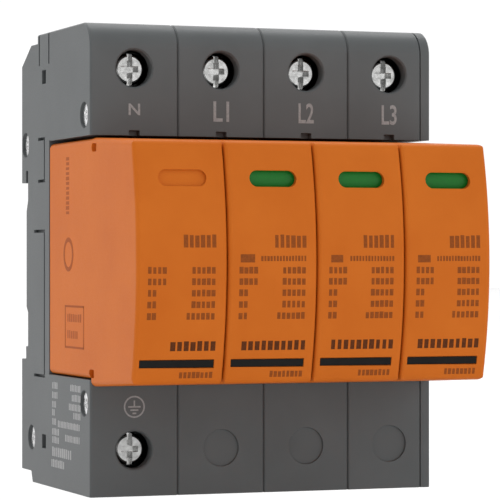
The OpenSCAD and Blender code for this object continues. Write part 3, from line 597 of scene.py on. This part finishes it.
def row(x, z, length, tall, pitch, fill=0.76, bold=False, fromRight=False):
    # z is the middle of the row's height
    letters = max(1, round(length / pitch))
    start = x - (letters - 0.5) * pitch if fromRight else x + pitch / 2
    return {"x": start, "z": z - tall / 2, "letters": letters, "pitch": pitch, "wide": pitch * fill,
            "tall": tall, "bold": bold}


# single rows are given as x from the pole, z, length, height, pitch, fill, bold
frontPrint = {"depth": 0.05, "sunk": 0.015, "uneven": (0.3, 0.1), "seed": 40, "left": -6.7, "right": 6.4,
              "tableZ": (-2.0, -4.05, -6.1, -8.2, -10.3), "leftLong": (3.6, 3.8, 1.9, 1.8, 1.9),
              "rightLong": (4.7, 4.7, 4.7, 4.7, 5.7),
              "tablePitch": 0.94, "tableTall": 1.25, "tableFill": 0.86,
              "broadRow": (6.6, 3.3, 6.5, 2.4, 1.08, 0.84), "lowRow": (6.6, -21.0, 6.6, 1.15, 0.82, 0.88),
              "shortTitle": (6.9, -15.7, 9.0, 1.8, 1.28, 0.8, True),
              "longTitle": (6.9, -15.7, 12.8, 1.8, 1.28, 0.8, True),
              "fineRow": (6.5, 0.15, 9.0, 1.0, 0.6), "pill": (-6.5, 0.15, 3.0, 1.5, 3.0, 1.0)}
for i in poles:
    x, look = poleX(i), frontPrint
    rows = []
    for z, short, long in zip(look["tableZ"], look["leftLong"], look["rightLong"]):
        size = (look["tableTall"], look["tablePitch"], look["tableFill"])
        rows.append(row(x + look["left"], z, short, *size))
        rows.append(row(x + look["right"], z, long, *size, fromRight=True))
    # the first cartridge has a shorter title, no fine row and no pill
    for name in ("broadRow", "lowRow", *(("shortTitle",) if i == 1 else ("longTitle", "fineRow", "pill"))):
        aside, *size = look[name]
        rows.append(row(x + aside, *size, fromRight=name != "pill"))
    printRows(f"frontPrint.{i}", rows, {**bow, **look, "seed": look["seed"] + i}, (tableInk, titleInk),
              f"cartridge_{i}")

flatRadius = 2e4  # so large that the bow is flat
leftTurn = Matrix.Rotation(math.radians(-90), 4, "Z")  # turns the front face to the left face
basePrint = {"radius": flatRadius, "middleY": baseLeftX + flatRadius, "middleZ": -32,
             "depth": 0.05, "sunk": 0.015, "uneven": (0.3, 0.1), "seed": 7, "tall": 1.35, "pitch": 1.0,
             "labels": ((17.5, -24.8, 4), (17.5, -26.7, 4), (17.5, -28.5, 3), (17.5, -30.1, 2),
                        (17.5, -31.9, 3)),
             "values": ((30, -24.8, 7), (31, -26.7, 6), (29, -28.5, 8), (32, -30.1, 5), (21.5, -32.2, 15),
                        (17.5, -33.9, 5), (17.5, -35.5, 5), (26.5, -34.7, 10)),
             "lastRows": ((17.5, -37.8, 13.5, 1.9, 1.35, 0.8), (16.9, -40.1, 9.3, 1.6, 1.15, 0.8))}
look = basePrint
rows = [row(x, z, long, look["tall"], look["pitch"]) for x, z, long in look["labels"] + look["values"]]
rows += [row(*line) for line in look["lastRows"]]
printRows("basePrint", rows, look, (baseInk, baseInk), "base", leftTurn)
print("print laid on the fronts and the base side")


def barMesh(name, boxes):
    # flat bars given as low and high corners, in millimetres
    work = bmesh.new()
    for low, high in boxes:
        made = bmesh.ops.create_cube(work, size=1.0)["verts"]
        for v in made:
            v.co = Vector(((low[k] + high[k]) / 2 + v.co[k] * (high[k] - low[k])) * mm for k in range(3))
    mesh = bpy.data.meshes.new(name)
    work.to_mesh(mesh)
    work.free()
    return mesh


def ringMesh(name, x, y, z, outer, line, depth, steps=40):
    # flat ring that faces the front, in millimetres
    work = bmesh.new()
    rings = []
    turns = [k * math.tau / steps for k in range(steps)]
    for radius, side in ((outer, -1), (outer, 1), (outer - line, 1), (outer - line, -1)):
        rings.append([work.verts.new(((x + radius * math.cos(a)) * mm, (y + side * depth / 2) * mm,
                                      (z + radius * math.sin(a)) * mm)) for a in turns])
    for here, there in zip(rings, rings[1:] + rings[:1]):
        for k in range(steps):
            work.faces.new((here[k], here[k - 1], there[k - 1], there[k]))
    bmesh.ops.recalc_face_normals(work, faces=work.faces)
    mesh = bpy.data.meshes.new(name)
    work.to_mesh(mesh)
    work.free()
    return mesh


def joined(name, meshes):
    work = bmesh.new()
    for mesh in meshes:
        work.from_mesh(mesh)
        bpy.data.meshes.remove(mesh)
    mesh = bpy.data.meshes.new(name)
    work.to_mesh(mesh)
    work.free()
    return mesh


def markText(name, text, look, x):
    curve = bpy.data.curves.new(name, "FONT")
    curve.body = text
    curve.size = look["size"] * mm  # fitted to the box further down
    curve.align_x, curve.align_y = "CENTER", "CENTER"
    curve.extrude = look["depth"] * mm / 2
    curve.offset = look["weight"] * mm
    curve.resolution_u = look["steps"]
    letters = bpy.data.objects.new(name, curve)
    scene.collection.objects.link(letters)
    graph = bpy.context.evaluated_depsgraph_get()
    mesh = bpy.data.meshes.new_from_object(letters.evaluated_get(graph))
    bpy.data.objects.remove(letters)
    low = [min(v.co[k] for v in mesh.vertices) for k in (0, 1)]
    high = [max(v.co[k] for v in mesh.vertices) for k in (0, 1)]
    middle = Vector(((low[0] + high[0]) / 2, (low[1] + high[1]) / 2, 0))
    long, tall = look["box"]
    fit = Matrix.Diagonal((long * mm / (high[0] - low[0]), tall * mm / (high[1] - low[1]), 1, 1))
    stand = Matrix.Rotation(math.radians(90), 4, "X")
    place = Matrix.Translation((x * mm, baseFrontY * mm, look["z"] * mm))
    mesh.transform(place @ stand @ fit @ Matrix.Translation(-middle))
    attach(newObject(name, mesh, markInk), "base")


neutralMark = {"box": (2.3, 2.2), "z": 28.4, "size": 3, "steps": 4, "depth": 0.05, "weight": 0.05}
lineMark = {"box": (3.2, 3.9), "z": 28.3, "size": 3, "steps": 4, "depth": 0.05, "weight": 0.05}
markText("terminalMark.N", "N", neutralMark, poleX(1))
for i in poles[1:]:
    markText(f"terminalMark.L{i - 1}", f"L{i - 1}", lineMark, poleX(i))

earthMark = {"z": -28.0, "ring": 2.1, "line": 0.3, "stem": 1.2, "bars": (2.5, 1.6, 0.75), "gap": 0.62,
             "depth": 0.05}
look = earthMark
x, y, z, half, flat = poleX(1), baseFrontY, look["z"], look["line"] / 2, look["depth"] / 2
boxes = [((x - half, y - flat, z), (x + half, y + flat, z + look["stem"]))]
for k, wide in enumerate(look["bars"]):
    level = z - k * look["gap"]
    boxes.append(((x - wide / 2, y - flat, level - half), (x + wide / 2, y + flat, level + half)))
ring = ringMesh("earth ring", x, y, z, look["ring"], look["line"], look["depth"])
mesh = joined("terminalMark.earth", [barMesh("earth bars", boxes), ring])
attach(newObject("terminalMark.earth", mesh, markInk), "base")
print("terminal marks set")

# faint marks on the outer side of the first cartridge
sidePrint = {"radius": flatRadius, "middleY": cartridgeLeftX + flatRadius, "middleZ": 0,
             "depth": 0.05, "sunk": 0.015, "uneven": (0.3, 0.1), "seed": 19,
             "uprightAt": (27.9, 14.2), "uprightRow": (-5.7, 0, 11.4, 2.2, 0.95),
             "ringAt": (28.5, 0.9), "ring": 3.3, "ringLine": 0.85,
             "field": ((26.2, -17.2), (38.8, -8.9)), "fieldLine": 0.4,
             "fieldRows": ((27.6, -11.3, 9.0, 1.6, 1.2), (27.6, -14.5, 7.2, 1.6, 1.2))}
look = sidePrint
inks = (cartridgeInk, cartridgeInk)
printRows("sidePrint.rows", [row(*line) for line in look["fieldRows"]], look, inks, "cartridge_1", leftTurn)
x, z = look["uprightAt"]
upright = Matrix.Translation((x * mm, 0, z * mm)) @ Matrix.Rotation(math.radians(-90), 4, "Y")
printRows("sidePrint.upright", [row(*look["uprightRow"])], look, inks, "cartridge_1", leftTurn @ upright)
(x0, z0), (x1, z1) = look["field"]
y, line, flat = cartridgeLeftX, look["fieldLine"], look["depth"] / 2
sides = ((x0, z0, x1, z0 + line), (x0, z1 - line, x1, z1), (x0, z0, x0 + line, z1), (x1 - line, z0, x1, z1))
boxes = [((left, y - flat, low), (right, y + flat, high)) for left, low, right, high in sides]
x, z = look["ringAt"]
ring = ringMesh("ring", x, y, z, look["ring"], look["ringLine"], look["depth"])
mesh = joined("sidePrint.field", [barMesh("field", boxes), ring])
mesh.transform(leftTurn)
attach(newObject("sidePrint.field", mesh, cartridgeInk), "cartridge_1")

# black strips in the marker grooves
markerStrip = {"wide": 14.1, "tall": 1.35, "x": -0.45, "z": -18.95, "sunk": 0.12, "thick": 0.36,
               "steps": 6, "edge": 0.08, "segments": 2, "angle": 38, "smooth": 32}
for i in poles:
    look = markerStrip
    x = poleX(i) + look["x"]
    work = bmesh.new()
    rings = []
    for k in range(look["steps"] + 1):
        z = look["z"] - look["tall"] / 2 + look["tall"] * k / look["steps"]
        y = bowY(z) + look["sunk"]
        corners = [(x - look["wide"] / 2, y), (x + look["wide"] / 2, y),
                   (x + look["wide"] / 2, y + look["thick"]), (x - look["wide"] / 2, y + look["thick"])]
        rings.append([work.verts.new((cx * mm, cy * mm, z * mm)) for cx, cy in corners])
    for below, above in zip(rings, rings[1:]):
        for k in range(4):
            work.faces.new((below[k], below[(k + 1) % 4], above[(k + 1) % 4], above[k]))
    work.faces.new(rings[0][::-1])
    work.faces.new(rings[-1])
    mesh = bpy.data.meshes.new(f"markerStrip.{i}")
    work.to_mesh(mesh)
    work.free()
    strip = newObject(f"markerStrip.{i}", mesh, markerBlack)
    breakEdges(strip, look)
    evenShading(strip, look["smooth"])
    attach(strip, f"cartridge_{i}")
print("marker strips laid in")

# the part hangs as on its rail, so the floor leaves the feet room to be pulled
floorLook = {"half": 4.0, "drop": 8, "drift": 300,
             "dark": (0.80, 0.80, 0.80, 1), "light": (0.83, 0.83, 0.83, 1)}
floorMesh = bpy.data.meshes.new("floor")
reach, level = floorLook["half"], cadLow[2] - floorLook["drop"] * mm
floorMesh.from_pydata([(-reach, -reach, level), (reach, -reach, level),
                       (reach, reach, level), (-reach, reach, level)], [], [(0, 1, 2, 3)])
floorPaint, floorTree, floorSurface, floorCoord = startMaterial("pale floor")
floorTint = addRamp(floorTree, addNoise(floorTree, floorCoord, floorLook["drift"]),
                    [(noiseLow, floorLook["dark"]), (noiseHigh, floorLook["light"])])
floorTree.links.new(floorTint, floorSurface.inputs["Base Color"])
floorSurface.inputs["Roughness"].default_value = 1.0
floorSurface.inputs["Specular IOR Level"].default_value = 0.0
floor = newObject("floor", floorMesh, floorPaint)

# white paper behind, dimmer room in front
skyLook = {"towards": (0.25, 0.9, 0.3), "front": 0.6, "back": 1.05, "edge": 0.4}
world = bpy.data.worlds.new("studio")
scene.world = world
world.use_nodes = True
sky = world.node_tree
sky.nodes.clear()
skyOut = sky.nodes.new("ShaderNodeOutputWorld")
skyLight = sky.nodes.new("ShaderNodeBackground")
skyLight.inputs["Color"].default_value = (1, 1, 1, 1)
skyDir = sky.nodes.new("ShaderNodeTexCoord")
skyDot = sky.nodes.new("ShaderNodeVectorMath")
skyDot.operation = "DOT_PRODUCT"
skyDot.inputs[1].default_value = skyLook["towards"]
skyRange = sky.nodes.new("ShaderNodeMapRange")
skyRange.inputs["From Min"].default_value = -skyLook["edge"]
skyRange.inputs["From Max"].default_value = skyLook["edge"]
skyRange.inputs["To Min"].default_value = skyLook["front"]
skyRange.inputs["To Max"].default_value = skyLook["back"]
sky.links.new(skyDir.outputs["Generated"], skyDot.inputs[0])
sky.links.new(skyDot.outputs["Value"], skyRange.inputs["Value"])
sky.links.new(skyRange.outputs["Result"], skyLight.inputs["Strength"])
sky.links.new(skyLight.outputs["Background"], skyOut.inputs["Surface"])


def softBox(name, look):
    lamp = bpy.data.lights.new(name, "AREA")
    lamp.shape, lamp.size, lamp.size_y = "RECTANGLE", look["wide"], look["tall"]
    lamp.energy = look["watts"]
    holder = bpy.data.objects.new(name, lamp)
    scene.collection.objects.link(holder)
    holder.location = look["place"]
    holder.rotation_mode = "QUATERNION"
    holder.rotation_quaternion = (Vector(look["aim"]) - Vector(look["place"])).to_track_quat("-Z", "Y")


softBox("key from the front right", {"place": (0.55, -1.5, 0.75), "aim": (0, -0.03, 0),
                                     "wide": 1.5, "tall": 1.8, "watts": 5.5})
softBox("fill from the left", {"place": (-1.6, 0.1, 0.2), "aim": (0, -0.03, 0),
                               "wide": 1.2, "tall": 1.0, "watts": 2.3})
softBox("low fill in front", {"place": (0.1, -1.3, 0.03), "aim": (0, -0.03, -0.02),
                              "wide": 1.6, "tall": 0.12, "watts": 1.05})
softBox("strip above", {"place": (0, 0.35, 1.0), "aim": (0, -0.03, 0),
                        "wide": 1.4, "tall": 0.35, "watts": 5.0})
softBox("wash over the floor behind", {"place": (0.3, 2.8, 2.0), "aim": (0.3, 2.8, 0),
                                       "wide": 4.4, "tall": 4.0, "watts": 40})

shot = {"x": -186.3, "y": -538.6, "z": 0.0, "turn": 20.61, "lens": 197.5, "sensor": 36.0,
        "shiftX": -0.028, "shiftY": 0.0183, "near": 0.01, "far": 20.0}
lens = bpy.data.cameras.new("camera")
lens.sensor_fit, lens.sensor_width, lens.lens = "AUTO", shot["sensor"], shot["lens"]
lens.shift_x, lens.shift_y = shot["shiftX"], shot["shiftY"]
lens.clip_start, lens.clip_end = shot["near"], shot["far"]
camera = bpy.data.objects.new("camera", lens)
scene.collection.objects.link(camera)
camera.location = (shot["x"] * mm, shot["y"] * mm, shot["z"] * mm)
camera.rotation_euler = (math.radians(90), 0, math.radians(-shot["turn"]))
scene.camera = camera
scene.view_settings.view_transform = "Standard"
scene.view_settings.look = "None"
print("stage, light and camera set")
